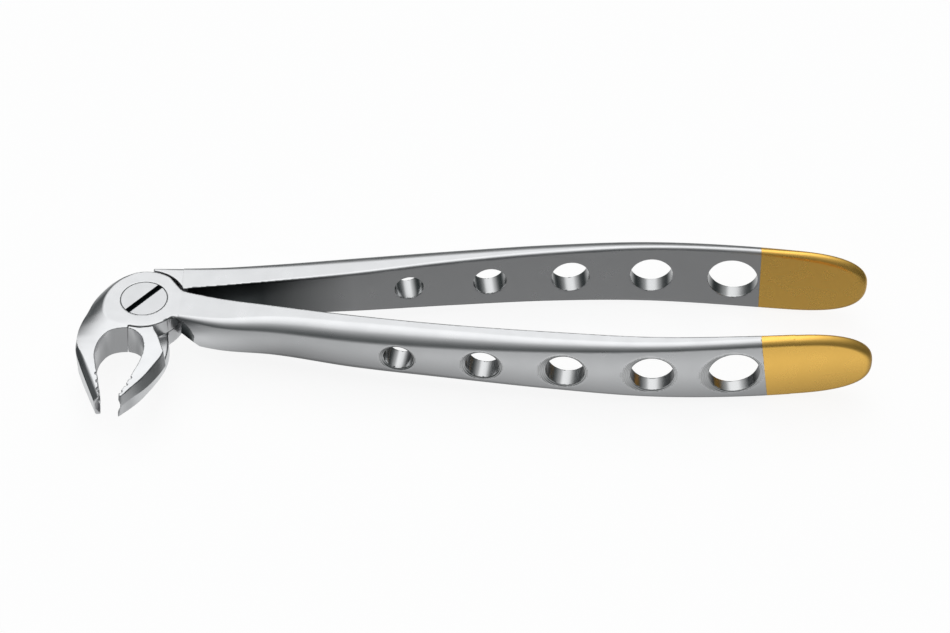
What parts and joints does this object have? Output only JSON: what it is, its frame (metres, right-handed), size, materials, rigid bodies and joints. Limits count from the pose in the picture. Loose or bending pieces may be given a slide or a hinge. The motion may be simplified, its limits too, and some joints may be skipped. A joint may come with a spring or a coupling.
{
  "type": "dental extraction forceps",
  "caption": "Pivoting dental extraction forceps with right-angled serrated beaks, a slotted joint screw and long perforated handles with gold-plated ends.",
  "frame": {"origin": "where the pivot axis meets the flat back face of the joint", "axes": "+Z along the pivot axis towards the slotted screw head, +X along the handles, beaks towards -Y"},
  "size_m": [0.1755, 0.0485, 0.0178],
  "materials": {
    "satin_steel": "satin, bead-blasted on the handles and fine-ground on the joint face",
    "screw_steel": "fine-ground flush with the joint",
    "gold_plating": "satin gold plate"
  },
  "bodies": {
    "back": {"back_half": "satin_steel", "joint_screw": "screw_steel", "upper_grip_plating": "gold_plating"},
    "front": {"front_half": "satin_steel", "lower_grip_plating": "gold_plating"}
  },
  "joints": [
    {"name": "pivot", "type": "hinge", "parent": "back", "child": "front", "pos_m": [0, 0, 0.004], "axis": [0, 0, -1], "range_deg": [0, 25]}
  ]
}
